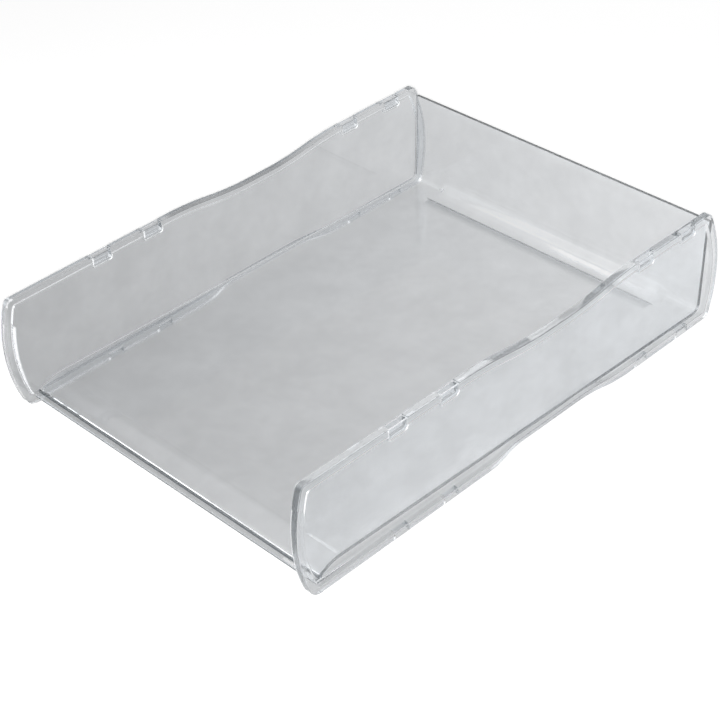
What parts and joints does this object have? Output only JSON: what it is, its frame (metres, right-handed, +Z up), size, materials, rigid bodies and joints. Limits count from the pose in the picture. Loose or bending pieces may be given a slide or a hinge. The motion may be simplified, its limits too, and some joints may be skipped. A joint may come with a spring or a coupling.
{
  "type": "letter tray",
  "caption": "Clear plastic stackable front-loading letter tray: bowed side walls with thick rounded rims and stacking sockets, low leaning back wall, rolled front lip.",
  "frame": {"origin": "middle of the rectangle the tray covers, on the plane of its flat bottom rims", "axes": "+X to the tray's right seen from its open front, +Y from the open front to the back wall, +Z up"},
  "size_m": [0.255, 0.362, 0.0783],
  "materials": {
    "clear_polystyrene": "clear, glossy, injection moulded polystyrene with a faint cool grey tint"
  },
  "bodies": {
    "root": {"back_scoop": "clear_polystyrene", "back_wall": "clear_polystyrene", "bottom_rim_left": "clear_polystyrene", "bottom_rim_right": "clear_polystyrene", "floor_margin_left": "clear_polystyrene", "floor_margin_right": "clear_polystyrene", "floor_panel": "clear_polystyrene", "front_lip": "clear_polystyrene", "front_rim_left": "clear_polystyrene", "front_rim_right": "clear_polystyrene", "rear_rim_left": "clear_polystyrene", "rear_rim_right": "clear_polystyrene", "side_panel_left": "clear_polystyrene", "side_panel_right": "clear_polystyrene", "stacking_sockets_left": "clear_polystyrene", "stacking_sockets_right": "clear_polystyrene", "top_rim_left": "clear_polystyrene", "top_rim_right": "clear_polystyrene"}
  },
  "joints": []
}
